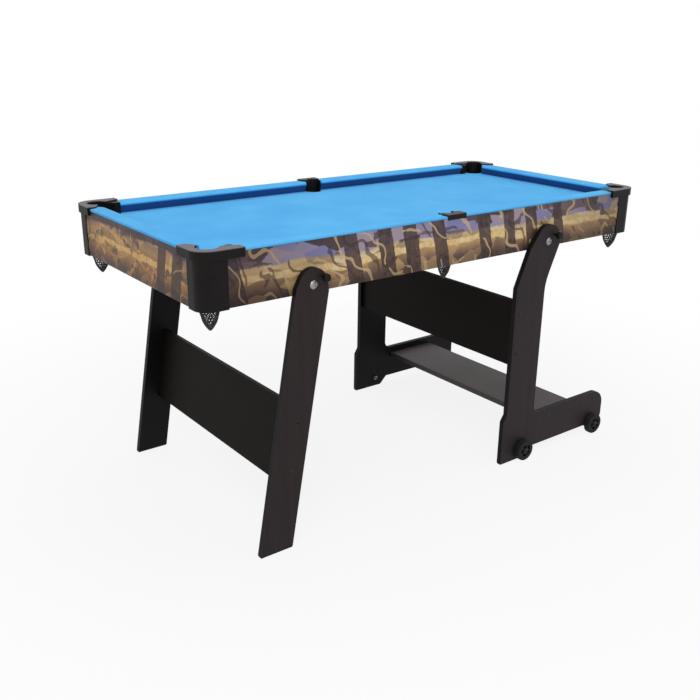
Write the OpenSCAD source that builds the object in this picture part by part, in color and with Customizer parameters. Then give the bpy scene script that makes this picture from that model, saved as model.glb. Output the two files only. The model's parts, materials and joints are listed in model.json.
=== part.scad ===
// Folding pool table, 5 ft class, on a pair of folding end legs and a wheeled base.
// +X runs from the end legs to the wheeled base, -Y is the near side, Z = 0 is the floor.
// The origin is on the floor under the middle of the table.

/* [Table top] */
// Length over the apron boards
table_l = 1520; // [1460:5:1600]
// Width over the apron boards
table_w = 704; // [660:2:760]
// Height of the rail tops above the floor
rail_z = 797; // [780:1:820]
// Height of the aprons, from the rail tops to their lower edge
apron_h = 132; // [126:1:140]
// Thickness of the apron boards
apron_t = 15; // [12:1:18]
// Thickness of the bed board
bed_t = 12; // [9:1:16]
// Thickness of the bed cloth
cloth_t = 1; // [0.6:0.1:2]
// Depth of the playing surface below the rail tops
bed_drop = 30; // [27:0.5:33]

/* [Cushions] */
// Width of a rail and its cushion, from the apron face to the nose
rail_w = 48; // [44:1:54]
// Thickness of the rail cap that lies on the apron
rail_cap_t = 6; // [4:0.5:9]
// Depth of the nose below the rail top
nose_drop = 7; // [5:0.5:9]
// Undercut of the cushion below its nose
undercut = 11; // [6:1:14]
// Width of the wooden strip inside a cushion
strip_w = 14; // [10:1:17]
// Height of the wooden strip inside a cushion
strip_h = 18; // [12:1:20]

/* [Pockets] */
// Distance of a corner pocket's centre from both apron faces
corner_inset = 40; // [38:1:44]
// Radius of a corner pocket's throat
corner_r = 27; // [24:0.5:29]
// Distance of a middle pocket's centre from the apron face, so that its throat is inside the apron
middle_inset = 41; // [40:0.5:43]
// Radius of a middle pocket's throat
middle_r = 22.5; // [20:0.5:23]
// Wall of the moulded throats and skirts
mould_t = 2.5; // [2:0.1:3.2]
// Thickness of the moulded plates on the rails
plate_t = 5; // [3:0.5:7]
// Overhang of a corner plate past the apron faces
lip = 8; // [6:0.5:11]
// Height of the rim that hangs from a corner plate's edge
lip_h = 22; // [16:1:26]
// Radius of a corner plate's outer corner
lip_r = 44; // [36:1:50]
// Length of a corner plate along the long rail
plate_arm_l = 110; // [100:1:130]
// Length of a corner plate along the end rail
plate_arm_w = 92; // [84:1:110]
// Width of a corner plate beside the throat
plate_arm_b = 30; // [24:1:36]
// Width of a corner plate's arms at their tips
plate_tip_b = 15; // [10:1:22]
// Distance of the long cushions from the corners, which a corner cap's cheeks fill
cheek_l = 104; // [100:1:120]
// Length of a corner skirt along the long apron
skirt_l = 68; // [66:1:76]
// Length of a corner skirt along the end apron
skirt_w = 58; // [56:1:70]
// Radius of a corner skirt's outer corner
skirt_r = 36; // [30:1:42]
// Length of a middle plate
middle_plate_l = 66; // [62:1:76]
// Depth of a throat below the bed board
throat_drop = 8; // [6:1:14]
// Drop of a corner net's tip below the aprons
net_drop = 58; // [46:1:66]
// Drop of a middle net's tip below the aprons
middle_net_drop = 48; // [40:1:54]
// Wall of the nets
net_t = 2; // [1.5:0.1:3]

/* [Under the bed] */
// Side of the square battens that carry the bed
batten = 18; // [14:1:22]
// Height of the cross rails under the bed
cross_h = 48; // [36:1:60]
// Thickness of the cross rails
cross_t = 15; // [12:1:20]
// Gap between the outer cross rails and the base's pivot blocks
cross_gap = 4.5; // [3:0.5:20]
// Length of a pivot block along the apron
block_l = 96; // [90:1:110]
// Thickness of a pivot block
block_t = 20; // [16:1:26]

/* [End legs] */
// Distance of the end legs' pivot from the left end
end_pivot_inset = 285; // [260:1:300]
// Height of the end legs' pivot above the aprons' lower edge
end_pivot_rise = 24; // [20:1:30]
// Width of an end leg's board
leg_w = 94; // [84:1:104]
// Thickness of the leg boards and base sides
leg_t = 16; // [15:1:20]
// Gap between the aprons and the leg boards
leg_gap = 4; // [3.6:0.1:6]
// Lean of the end legs from upright, in degrees
leg_lean = 9.6; // [6:0.2:12]
// Radius of an end leg's rounded head
leg_head_r = 41; // [38:1:46]
// Distance of the end legs' shoulders below the pivot
leg_shoulder = 12; // [8:1:20]
// Thickness of the stretchers
stretcher_t = 15; // [12:1:20]
// Width of the end legs' stretcher board
end_stretcher_h = 212; // [180:2:230]
// Distance from the end legs' pivot to their stretcher
end_stretcher_from = 307; // [300:1:330]

/* [Wheeled base] */
// Distance of the base's pivot from the right end
base_pivot_inset = 405; // [390:1:420]
// Height of the base's pivot above the aprons' lower edge
base_pivot_rise = 20; // [18:1:26]
// Width of the base's uprights
upright_w = 120; // [110:1:130]
// Distance of the upright's inner edge past the pivot
upright_past = 1; // [-4:1:6]
// Distance of the upright's bend below the pivot
bend_drop = 125; // [110:1:140]
// Radius of the base's rounded head
base_head_r = 50; // [46:1:54]
// Distance of the base's outer shoulder from the pivot
base_shoulder = 74; // [68:1:82]
// Step of the heel past the upright
heel_step = 13; // [6:1:20]
// Height of the heel
heel_h = 142; // [120:1:160]
// Length of the heel's flat sole
heel_sole = 116; // [106:1:126]
// Height of the foot bars' top above the floor
foot_top = 140; // [130:1:150]
// Height of the foot bars' underside above the floor
foot_rise = 28; // [22:1:34]
// Reach of the foot bars past the pivot
foot_reach = 345; // [330:1:360]
// Radius of the foot bars' upper end
foot_end_r = 50; // [40:1:56]
// Width of the base's stretcher board
base_stretcher_h = 200; // [170:2:210]
// Height of the base stretcher's lower edge above the floor
base_stretcher_z = 320; // [310:1:330]
// Distance of the base's stretcher from the upright's outer edge
base_stretcher_in = 10; // [4:1:12]
// Width of the flat board between the foot bars
shelf_w = 190; // [170:1:200]
// Thickness of the flat board
shelf_t = 18; // [15:1:22]
// Height of the flat board's top above the floor
shelf_z = 118; // [110:1:124]
// Distance of the flat board past the pivot
shelf_past = 31; // [24:1:44]
// Thickness of the floor pads
pad_t = 3; // [2:0.5:5]

/* [Wheels] */
// Outer diameter of a wheel
wheel_d = 66; // [58:1:70]
// Width of a wheel
wheel_w = 20; // [16:1:24]
// Radius of the hub inside the tyre
hub_r = 22; // [19:0.5:25]
// Distance of the heel wheel's axle before the pivot
wheel_back = 45; // [38:1:50]
// Distance of the end wheel's axle past the pivot
wheel_front = 291; // [280:1:300]
// Radius of the axle bolts
axle_r = 4; // [3:0.25:5]

/* [Pivots and locks] */
// Radius of the pivot bolts
pivot_r = 5; // [4:0.25:6]
// Radius of the pivot bushes
bush_r = 7.5; // [7:0.25:9]
// Radius of a lock pin
lock_r = 4; // [3:0.25:4.5]
// Distance of the lock pins from the pivots
lock_offset = 31; // [28:1:34]
// Direction of the lock pins from the pivots, in degrees above +X
lock_angle = 34; // [26:1:44]
// Travel of a lock pin
lock_travel = 7; // [5:0.5:9]
// Radius of a lock pin's knob
knob_r = 10; // [8:0.5:11]
// Length of a lock pin's knob
knob_l = 15; // [12:1:18]
// Radial clearance of turning and sliding fits
run_clear = 0.06; // [0.02:0.01:0.1]
// Side clearance of moving faces
face_clear = 0.3; // [0.3:0.1:0.6]

/* [Hidden] */

$fn = 64;
eps = 0.01;
snug = 0.05;
half_l = table_l / 2;
half_w = table_w / 2;
apron_z = rail_z - apron_h;
apron_top = rail_z - rail_cap_t;
cloth_z = rail_z - bed_drop;
bed_z = cloth_z - cloth_t - bed_t;
throat_z = bed_z - throat_drop;
far_cut = table_l;
throat_out = corner_r + mould_t;
middle_out = middle_r + mould_t;
// Starts of the apron boards, measured from the corners, under the skirts' ends
skirt_over = 9;
side_start = skirt_l - skirt_over;
end_start = skirt_w - skirt_over;
// Jaws of the cushions beside the pockets
jaw = (corner_r + 3) * sqrt(2);
middle_jaw_angle = 20;
middle_jaw_gap = 3;
skirt_return = 12;
cap_screw_in = 4.5;
cheek_rise = 1;
throat_step = 6;
plate_mid = rail_z + plate_t / 2;
plate_far = corner_inset + corner_r + plate_t;
// Leg planes, measured from the middle of the table
leg_in = half_w + leg_gap;
leg_out = leg_in + leg_t;
// Pivots
end_px = -half_l + end_pivot_inset;
end_pz = apron_z + end_pivot_rise;
base_px = half_l - base_pivot_inset;
base_pz = apron_z + base_pivot_rise;
end_fold = 85;
base_fold = 90;
lock_x = lock_offset * cos(lock_angle);
lock_z = lock_offset * sin(lock_angle);
// Base outline
upright_x = upright_past - upright_w;
heel_x = upright_x - heel_step;
sole_x = heel_x + heel_sole;
ramp_x = sole_x + foot_rise - pad_t;
base_shoulder_drop = 15;
foot_fillet = 25;
bend_r = 150;
foot_toe_r = 26;
ear_r = 20;
// Wheels
wheel_gap = 2.5;
wheel_in = leg_out + wheel_gap;
axle_head = 4;
tyre_round = 4;
// Fasteners
screw_r = 2.5;
screw_head_r = 7;
screw_head_h = 2.5;
screw_bite = 30;
stretcher_screw_in = 40;
shelf_screw_in = 45;
pivot_head_r = 11;
pivot_head_h = 5;
nut_h = 8;
spacer_r = 14;
small_r = 1.8;
small_head_r = 3.6;
small_head_h = 1.8;
small_bite = 8;
// Bed screws: one from the middle, the others from the ends and clear of the pivot blocks
bed_screws_x = [70, half_l - 490, half_l - 200];
// Outer and inner cross rails; the outer ones lie beside the base's pivot blocks
cross_out = base_px - block_l / 2 - cross_gap - cross_t / 2;
cross_in = cross_out / 3;

board_color = [0.20, 0.18, 0.18];
cloth_color = [0.33, 0.67, 0.90];
print_color = [0.60, 0.49, 0.36];
mould_color = [0.10, 0.09, 0.09];
wood_color = [0.72, 0.58, 0.42];
steel_color = [0.66, 0.66, 0.68];

// Repeats a near-left shape at one of the four corners, measured inward from the aprons
module at_corner(right, far)
    mirror([right, 0, 0]) mirror([0, far, 0]) translate([-half_l, -half_w, 0]) children();

// Turns a near-side shape into its far-side twin
module on_side(far) mirror([0, far, 0]) children();

// Extrudes an outline drawn in X and Z into a board from y_front back by depth
module upright_board(y_front, depth)
    translate([0, y_front + depth, 0]) rotate([90, 0, 0]) linear_extrude(depth) children();

// Round bar along +Y
module bar_y(x, y, z, r, length)
    translate([x, y, z]) rotate([-90, 0, 0]) cylinder(r = r, h = length);

// Point where a line from p touches a circle of radius r about the origin
function touch_point(p, r, turn) =
    let (a = atan2(p[1], p[0]) + turn * acos(r / norm(p))) [r * cos(a), r * sin(a)];

// Rounds the outer corner of an outline that starts at the origin
module corner_bite(r)
    difference() {
        translate([-1, -1]) square([r + 1, r + 1]);
        translate([r, r]) circle(r);
    }

// Low dome on +Z, for the heads of bolts and screws
module dome(r, h)
    rotate_extrude()
        intersection() {
            translate([0, h - (r * r + h * h) / (2 * h)]) circle((r * r + h * h) / (2 * h));
            square([r, h]);
        }

// Domed head that looks out of the near side, with its flat face at y
module head_y(x, y, z, r, h)
    translate([x, y, z]) rotate([90, 0, 0]) dome(r, h);

// Clearance cylinders for all six pockets
module pocket_cuts(z, h) {
    for (right = [0, 1], far = [0, 1])
        at_corner(right, far) translate([corner_inset, corner_inset, z])
            cylinder(r = throat_out + snug, h = h);
    for (far = [0, 1])
        on_side(far) translate([0, -half_w + middle_inset, z])
            cylinder(r = middle_out + snug, h = h);
}

// Panel inside the aprons, cut out at the pockets
module bed_panel(z, t)
    difference() {
        translate([-half_l + apron_t, -half_w + apron_t, z])
            cube([table_l - 2 * apron_t, table_w - 2 * apron_t, t]);
        pocket_cuts(z - 1, t + 2);
        for (right = [0, 1], far = [0, 1])
            at_corner(right, far) translate([0, 0, z - 1])
                cube([corner_inset, corner_inset, t + 2]);
        for (far = [0, 1])
            on_side(far) translate([-middle_out - snug, -half_w, z - 1])
                cube([2 * (middle_out + snug), middle_inset, t + 2]);
    }

// Places of the small screws that come up through the side battens
module at_bed_screws()
    for (far = [0, 1], right = [0, 1], x = bed_screws_x)
        on_side(far) mirror([right, 0, 0])
            translate([-x, -half_w + apron_t + batten / 2, bed_z - batten]) children();

// Three boards that meet over the inner cross rails
module bed_board()
    color(wood_color) difference() {
        bed_panel(bed_z, bed_t);
        at_bed_screws() cylinder(r = small_r + snug, h = batten + small_bite + 1);
        for (x = [-cross_in, cross_in])
            translate([x - face_clear / 2, -half_w, bed_z - 1]) cube([face_clear, table_w, bed_t + 2]);
    }

module bed_cloth()
    color(cloth_color) bed_panel(bed_z + bed_t, cloth_t);

// Holes in a side apron for the pivot bolt and for both places of the lock pin
module pivot_holes(px, pz, fold) {
    bar_y(px, -half_w - 1, pz, pivot_r + snug, apron_t + 2);
    for (turn = [0, fold])
        bar_y(px + lock_x * cos(turn) - lock_z * sin(turn), -half_w - 1,
            pz + lock_x * sin(turn) + lock_z * cos(turn), lock_r + face_clear, apron_t + 2);
}

module side_apron()
    color(print_color) difference() {
        translate([-half_l + side_start, -half_w, apron_z])
            cube([table_l - 2 * side_start, apron_t, apron_top - apron_z]);
        pivot_holes(end_px, end_pz, end_fold);
        pivot_holes(base_px, base_pz, base_fold);
        cap_screw_holes();
    }

module end_apron()
    color(print_color) difference() {
        translate([-half_l, -half_w + end_start, apron_z])
            cube([apron_t, table_w - 2 * end_start, apron_top - apron_z]);
        pocket_cuts(apron_z - 1, apron_h);
        cap_screw_holes();
    }

module side_apron_near() side_apron();
module side_apron_far() on_side(1) side_apron();
module end_apron_left() end_apron();
module end_apron_right() mirror([1, 0, 0]) end_apron();

// Section of a cushion, inward from the apron face and down from the rail top
module cushion_section()
    difference() {
        polygon([[0, -rail_cap_t], [0, -1.5], [1.5, 0], [rail_w - 9, 0], [rail_w - 2, -1.5],
            [rail_w, -nose_drop + 2], [rail_w, -nose_drop - 1],
            [rail_w - undercut, -bed_drop], [apron_t, -bed_drop], [apron_t, -rail_cap_t]]);
        strip_section();
    }

strip_foot = 3;
module strip_section()
    translate([apron_t, strip_foot - bed_drop]) square([strip_w, strip_h]);

// Length of rail along the near side, from a corner cap's cheek to the middle pocket's jaw
module long_rail()
    difference() {
        translate([-half_l + cheek_l + face_clear, -half_w, rail_z]) rotate([90, 0, 90])
            linear_extrude(half_l - cheek_l - face_clear) children();
        translate([-middle_out - middle_jaw_gap, -half_w + middle_inset, cloth_z - 1])
            rotate([0, 0, middle_jaw_angle]) translate([0, -2 * rail_w, 0])
                cube([2 * rail_w, 4 * rail_w, 2 * bed_drop]);
        pocket_cuts(cloth_z - 1, 2 * bed_drop);
    }

// Length of rail along the left end, with jaws at both ends
module end_rail()
    difference() {
        translate([-half_l, half_w - end_start, rail_z]) rotate([90, 0, 0])
            linear_extrude(table_w - 2 * end_start) children();
        for (far = [0, 1])
            at_corner(0, far) translate([0, jaw, cloth_z - 1]) rotate([0, 0, 45])
                translate([-rail_w, -2 * rail_w, 0]) cube([4 * rail_w, 2 * rail_w, 2 * bed_drop]);
        pocket_cuts(cloth_z - 1, 2 * bed_drop);
    }

module long_cushion(right, far)
    color(cloth_color) mirror([right, 0, 0]) on_side(far) long_rail() cushion_section();

module end_cushion(right)
    color(cloth_color) mirror([right, 0, 0]) end_rail() cushion_section();

module cushion_near_left() long_cushion(0, 0);
module cushion_near_right() long_cushion(1, 0);
module cushion_far_left() long_cushion(0, 1);
module cushion_far_right() long_cushion(1, 1);
module cushion_left_end() end_cushion(0);
module cushion_right_end() end_cushion(1);

module cushion_strips()
    color(wood_color) {
        for (right = [0, 1], far = [0, 1])
            mirror([right, 0, 0]) on_side(far) long_rail() strip_section();
        for (right = [0, 1])
            mirror([right, 0, 0]) end_rail() strip_section();
    }

// Moulded corner: rail plate with its rim and cheek, skirt round the apron corner, ball throat
module corner_plate()
    difference() {
        polygon([[-lip, -lip], [plate_arm_l, -lip], [plate_arm_l, plate_tip_b], [plate_far, plate_arm_b],
            [plate_arm_b, plate_arm_b], [plate_arm_b, plate_far], [plate_tip_b, plate_arm_w],
            [-lip, plate_arm_w]]);
        translate([-lip, -lip]) corner_bite(lip_r);
    }

// Area inside a corner plate's outer edges, drawn in by inset
module rim_area(inset)
    translate([inset - lip, inset - lip]) difference() {
        square([plate_arm_l + lip - 2 * inset, plate_arm_w + lip - 2 * inset]);
        corner_bite(lip_r - inset);
    }

// Cheek between a throat and the long cushion, with its jaw at 45 degrees
module corner_cheek(from)
    intersection() {
        polygon([[jaw - 2, 0], [cheek_l, 0], [cheek_l, rail_w], [jaw - 2 + rail_w, rail_w]]);
        translate([0, from]) square([cheek_l, rail_w]);
    }

// Rim under a corner plate's outer edges, closed at the arms' tips
module corner_rim()
    difference() {
        rim_area(0);
        rim_area(mould_t);
        difference() {
            square([plate_arm_l + 1, plate_arm_w + 1]);
            corner_bite(skirt_r);
        }
    }

module skirt_outline(grow)
    translate([-grow, -grow]) difference() {
        square([skirt_l + grow, skirt_w + grow]);
        corner_bite(skirt_r - mould_t + grow);
    }

module corner_skirt(inner)
    difference() {
        skirt_outline(mould_t);
        translate([inner, inner]) difference() {
            square([skirt_l + 1, skirt_w + 1]);
            corner_bite(skirt_r - mould_t - inner);
        }
    }

// Throat before it is bored: round below the bed, open to the cloth on +X above it
module throat_blank(r)
    difference() {
        translate([0, 0, throat_z]) cylinder(r = r + mould_t, h = plate_mid - throat_z);
        translate([throat_step, -2 * r, cloth_z]) cube([2 * r, 4 * r, 2 * bed_drop]);
    }

module throat_bore(r)
    translate([0, 0, throat_z - 1]) cylinder(r = r, h = rail_z + plate_t - throat_z + 2);

// Places of the screws that hold a skirt's return to the aprons
module at_cap_screws()
    for (place = [[side_start + cap_screw_in, apron_t / 2], [apron_t / 2, end_start + cap_screw_in]])
        translate([place[0], place[1], apron_z - mould_t]) children();

module cap_screw_holes()
    for (right = [0, 1], far = [0, 1])
        at_corner(right, far) at_cap_screws()
            translate([0, 0, -1]) cylinder(r = small_r + snug, h = mould_t + small_bite + 2);

module corner_cap(right, far)
    color(mould_color) at_corner(right, far) difference() {
        union() {
            translate([0, 0, rail_z]) linear_extrude(plate_t) corner_plate();
            translate([0, 0, rail_z + plate_t - lip_h])
                linear_extrude(lip_h - plate_t / 2) corner_rim();
            translate([0, 0, apron_top]) linear_extrude(rail_cap_t + cheek_rise) corner_cheek(0);
            translate([0, 0, cloth_z])
                linear_extrude(bed_drop + cheek_rise) corner_cheek(apron_t);
            translate([0, 0, apron_z - mould_t])
                linear_extrude(plate_mid - apron_z + mould_t) corner_skirt(0);
            translate([0, 0, apron_z - mould_t]) linear_extrude(mould_t) corner_skirt(skirt_return);
            translate([corner_inset, corner_inset, 0]) rotate([0, 0, 45]) throat_blank(corner_r);
        }
        translate([corner_inset, corner_inset, 0]) throat_bore(corner_r);
        at_cap_screws() translate([0, 0, -1]) cylinder(r = small_r + snug, h = mould_t + 2);
    }

module corner_cap_near_left() corner_cap(0, 0);
module corner_cap_near_right() corner_cap(1, 0);
module corner_cap_far_left() corner_cap(0, 1);
module corner_cap_far_right() corner_cap(1, 1);

middle_plate_r = 10;
middle_lip = 2;
middle_lip_h = 9;
middle_plate_b = 30;
module middle_plate()
    difference() {
        translate([-middle_plate_l / 2, -middle_lip])
            square([middle_plate_l, middle_plate_b + middle_lip]);
        for (side = [0, 1])
            mirror([side, 0]) translate([-middle_plate_l / 2, middle_plate_b])
                mirror([0, 1]) corner_bite(middle_plate_r);
    }

module middle_pocket(far)
    color(mould_color) on_side(far) translate([0, -half_w, 0]) difference() {
        union() {
            translate([0, 0, rail_z]) linear_extrude(plate_t) middle_plate();
            translate([-middle_plate_l / 2, -middle_lip, rail_z - middle_lip_h])
                cube([middle_plate_l, middle_lip, middle_lip_h + plate_t / 2]);
            translate([0, middle_inset, 0]) rotate([0, 0, 90]) throat_blank(middle_r);
        }
        translate([0, middle_inset, 0]) throat_bore(middle_r);
    }

module middle_pocket_near() middle_pocket(0);
module middle_pocket_far() middle_pocket(1);

// Net bag: a thin revolved cup that closes to a tip
net_rings = 14;
function net_radius(t) = (1 - 0.1 * t) * pow(1 - pow(t, 5), 0.6);

module net_cup(r, drop) {
    depth = throat_z - apron_z + drop;
    outer = [for (i = [0:net_rings])
        [r * net_radius(i / net_rings), -depth * i / net_rings]];
    inner = [for (i = [net_rings - 1:-1:0])
        [max(outer[i][0] - net_t, 0), outer[i][1]]];
    rotate_extrude($fn = 48) polygon(concat(outer, [[0, -depth + 2 * net_t]], inner));
}

module corner_net(right, far)
    color(mould_color) at_corner(right, far)
        translate([corner_inset, corner_inset, throat_z]) net_cup(corner_r + 1, net_drop);

module middle_net(far)
    color(mould_color) on_side(far)
        translate([0, -half_w + middle_inset, throat_z]) net_cup(middle_r + 1, middle_net_drop);

module net_near_left() corner_net(0, 0);
module net_near_right() corner_net(1, 0);
module net_far_left() corner_net(0, 1);
module net_far_right() corner_net(1, 1);
module net_near_middle() middle_net(0);
module net_far_middle() middle_net(1);

// Square battens round the inside of the aprons
batten_from = corner_inset + throat_out + 20;
middle_free = middle_out + 18;
module bed_battens()
    color(wood_color) {
        difference() {
            for (right = [0, 1], far = [0, 1])
                mirror([right, 0, 0]) on_side(far)
                    translate([-half_l + batten_from, -half_w + apron_t, bed_z - batten])
                        cube([half_l - batten_from - middle_free, batten, batten]);
            at_bed_screws() translate([0, 0, -1])
                cylinder(r = small_r + snug, h = batten + 2);
        }
        for (right = [0, 1])
            mirror([right, 0, 0])
                translate([-half_l + apron_t, -half_w + batten_from, bed_z - batten])
                    cube([batten, table_w - 2 * batten_from, batten]);
    }

module cross_rails()
    color(wood_color)
        for (x = [-cross_out, -cross_in, cross_in, cross_out])
            translate([x - cross_t / 2, -half_w + apron_t + batten, bed_z - cross_h])
                cube([cross_t, table_w - 2 * (apron_t + batten), cross_h]);

block_foot = 2;
module pivot_block(px, pz)
    difference() {
        translate([px - block_l / 2, -half_w + apron_t, apron_z + block_foot])
            cube([block_l, block_t, bed_z - batten - apron_z - block_foot]);
        bar_y(px, -half_w, pz, pivot_r + snug, apron_t + block_t + 1);
    }

// Repeats a near-side piece at both pivots and on both sides
module at_pivots()
    for (far = [0, 1])
        on_side(far) {
            translate([end_px, 0, end_pz]) children();
            translate([base_px, 0, base_pz]) children();
        }

module pivot_blocks()
    color(wood_color) for (far = [0, 1])
        on_side(far) {
            pivot_block(end_px, end_pz);
            pivot_block(base_px, base_pz);
        }

bolt_end = 2;
module pivot_bolts()
    color(steel_color) at_pivots() {
        head_y(0, -leg_out - face_clear, 0, pivot_head_r, pivot_head_h);
        bar_y(0, -leg_out - face_clear - eps, 0, pivot_r,
            leg_out + face_clear - half_w + apron_t + block_t + nut_h + bolt_end);
    }

module pivot_nuts()
    color(steel_color) at_pivots() difference() {
        translate([0, -half_w + apron_t + block_t, 0]) rotate([-90, 0, 0])
            cylinder(r = 2 * pivot_r - 1, h = nut_h, $fn = 6);
        bar_y(0, -half_w, 0, pivot_r + snug, table_w / 4);
    }

module pivot_spacers()
    color(mould_color) at_pivots() difference() {
        bar_y(0, -half_w - leg_gap + face_clear, 0, spacer_r, leg_gap - face_clear);
        bar_y(0, -leg_out, 0, pivot_r + snug, leg_out);
    }

// Small screw that points up, with its head below the origin
module small_screw(length) {
    translate([0, 0, -eps]) cylinder(r = small_r, h = length + eps);
    rotate([180, 0, 0]) dome(small_head_r, small_head_h);
}

module bed_screws()
    color(steel_color) at_bed_screws() small_screw(batten + small_bite);

module cap_screws()
    color(steel_color) for (right = [0, 1], far = [0, 1])
        at_corner(right, far) at_cap_screws() small_screw(mould_t + small_bite);

// Shoulders and rounded head round a pivot, from the points where the board ends
module head_outline(left, right, r) {
    circle(r);
    polygon([left, right, touch_point(right, r, 1), touch_point(left, r, -1)]);
}

// Places of the end stretcher's screws, as distances below the pivot
end_screw_down = [end_stretcher_from + stretcher_screw_in,
    end_stretcher_from + end_stretcher_h - stretcher_screw_in];

module in_end_leg()
    translate([end_px, 0, end_pz]) rotate([0, leg_lean, 0]) children();

module end_leg()
    color(board_color) difference() {
        in_end_leg() side_board() {
            translate([-leg_w / 2, -2 * rail_z]) square([leg_w, 2 * rail_z - leg_shoulder + eps]);
            head_outline([-leg_w / 2, -leg_shoulder], [leg_w / 2, -leg_shoulder], leg_head_r);
        }
        translate([-far_cut, -table_w, pad_t - 2 * rail_z]) cube([2 * far_cut, 2 * table_w, 2 * rail_z]);
        bar_y(end_px, -leg_out - 1, end_pz, bush_r + snug, leg_t + 2);
        bar_y(end_px + lock_x, -leg_out - 1, end_pz + lock_z, lock_r + run_clear, leg_t + 2);
        in_end_leg() for (down = end_screw_down)
            bar_y(stretcher_t / 2, -leg_out - 1, -down, screw_r + snug, leg_t + 2);
    }

module end_leg_near() end_leg();
module end_leg_far() on_side(1) end_leg();

module end_stretcher()
    color(board_color) in_end_leg() difference() {
        translate([0, -leg_in, -end_stretcher_from - end_stretcher_h])
            cube([stretcher_t, 2 * leg_in, end_stretcher_h]);
        for (far = [0, 1], down = end_screw_down)
            on_side(far) bar_y(stretcher_t / 2, -leg_in - 1, -down, screw_r + snug, screw_bite + 1);
    }

module bush(px, pz)
    difference() {
        bar_y(px, -leg_out, pz, bush_r, leg_t);
        bar_y(px, -leg_out - 1, pz, pivot_r + run_clear, leg_t + 2);
    }

module end_leg_bushes()
    color(mould_color) for (far = [0, 1]) on_side(far) bush(end_px, end_pz);

// Sole of an end leg: the board's width cut level, on the floor
leg_foot_w = leg_w / cos(leg_lean);
leg_foot_x = end_px - (end_pz - pad_t) * tan(leg_lean);
module end_leg_pads()
    color(mould_color) for (far = [0, 1])
        on_side(far) translate([leg_foot_x - leg_foot_w / 2 + 1, -leg_out + 1, 0])
            cube([leg_foot_w - 2, leg_t - 2, pad_t]);

// Board screw through a side board at y = -leg_out into what it holds
module board_screw(x, z) {
    head_y(x, -leg_out, z, screw_head_r, screw_head_h);
    bar_y(x, -leg_out - eps, z, screw_r, leg_t + screw_bite);
}

module end_leg_screws()
    color(steel_color) for (far = [0, 1])
        on_side(far) in_end_leg() for (down = end_screw_down)
            board_screw(stretcher_t / 2, -down);

// Outline of a base side: leaning head, upright, heel and wheeled foot bar
base_left = [-base_shoulder, base_pz - base_shoulder_drop];
base_bend = [upright_past, -bend_drop];
base_lean = 90 - atan2(touch_point(base_bend, base_head_r, 1)[1] + bend_drop,
    touch_point(base_bend, base_head_r, 1)[0] - upright_past);
bend_run = bend_r * tan(base_lean / 2);
fillet_root = 5;

head_left = [0, base_pz] + touch_point([-base_shoulder, -base_shoulder_drop], base_head_r, -1);
head_right = [0, base_pz] + touch_point(base_bend, base_head_r, 1);

// Large round in the bend, from the point where the two straights would meet
module bend_fillet()
    difference() {
        polygon([[0, -bend_run], [bend_run * sin(base_lean), bend_run * cos(base_lean)],
            [-fillet_root, bend_run], [-fillet_root, -bend_run]]);
        translate([bend_r, -bend_run]) circle(bend_r, $fn = 180);
    }

// Head, upright and heel
module base_upright_outline() {
    translate([0, base_pz]) circle(base_head_r);
    polygon([[heel_x, pad_t], [heel_x, heel_h], [upright_x, heel_h + 1.6 * heel_step],
        [upright_x, base_pz - bend_drop], base_left, head_left, head_right,
        [upright_past, base_pz - bend_drop], [upright_past, foot_top],
        [ramp_x, foot_top], [ramp_x, foot_rise], [sole_x, pad_t]]);
}

// Round in the corner between the upright and the foot bar
module foot_fillet_outline()
    difference() {
        translate([-fillet_root, -fillet_root]) square(foot_fillet + fillet_root);
        translate([foot_fillet, foot_fillet]) circle(foot_fillet);
    }

module foot_bar_outline() {
    translate([ramp_x - fillet_root, foot_rise])
        square([foot_reach - foot_end_r - ramp_x + fillet_root, foot_top - foot_rise]);
    translate([ramp_x, foot_rise + foot_toe_r])
        square([foot_reach - ramp_x, foot_top - foot_end_r - foot_rise - foot_toe_r]);
    translate([ramp_x, foot_rise])
        square([foot_reach - foot_toe_r - ramp_x, foot_toe_r + 1]);
    translate([foot_reach - foot_end_r, foot_top - foot_end_r]) circle(foot_end_r);
    translate([foot_reach - foot_toe_r, foot_rise + foot_toe_r]) circle(foot_toe_r);
}

module side_board() upright_board(-leg_out, leg_t) children();

base_stretcher_x = upright_x + base_stretcher_in;
base_screw_places = [
    [base_stretcher_x + stretcher_t / 2, base_stretcher_z + stretcher_screw_in],
    [base_stretcher_x + stretcher_t / 2, base_stretcher_z + base_stretcher_h - stretcher_screw_in],
    [shelf_past + shelf_screw_in, shelf_z - shelf_t / 2],
    [shelf_past + shelf_w - shelf_screw_in, shelf_z - shelf_t / 2]];

module base_side()
    color(board_color) translate([base_px, 0, 0]) difference() {
        union() {
            side_board() base_upright_outline();
            side_board() translate([upright_past, base_pz - bend_drop]) bend_fillet();
            side_board() translate([upright_past, foot_top]) foot_fillet_outline();
            side_board() foot_bar_outline();
            side_board() translate([wheel_front, wheel_d / 2]) circle(ear_r);
        }
        for (x = [-wheel_back, wheel_front])
            bar_y(x, -leg_out - 1, wheel_d / 2, axle_r + snug, leg_t + 2);
        bar_y(0, -leg_out - 1, base_pz, bush_r + snug, leg_t + 2);
        bar_y(lock_x, -leg_out - 1, base_pz + lock_z, lock_r + run_clear, leg_t + 2);
        for (place = base_screw_places)
            bar_y(place[0], -leg_out - 1, place[1], screw_r + snug, leg_t + 2);
    }

module base_side_near() base_side();
module base_side_far() on_side(1) base_side();

module base_screw_bores()
    for (far = [0, 1], place = base_screw_places)
        on_side(far) bar_y(base_px + place[0], -leg_in - 1, place[1],
            screw_r + snug, screw_bite + 1);

module base_stretcher()
    color(board_color) difference() {
        translate([base_px + base_stretcher_x, -leg_in, base_stretcher_z])
            cube([stretcher_t, 2 * leg_in, base_stretcher_h]);
        base_screw_bores();
    }

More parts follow.
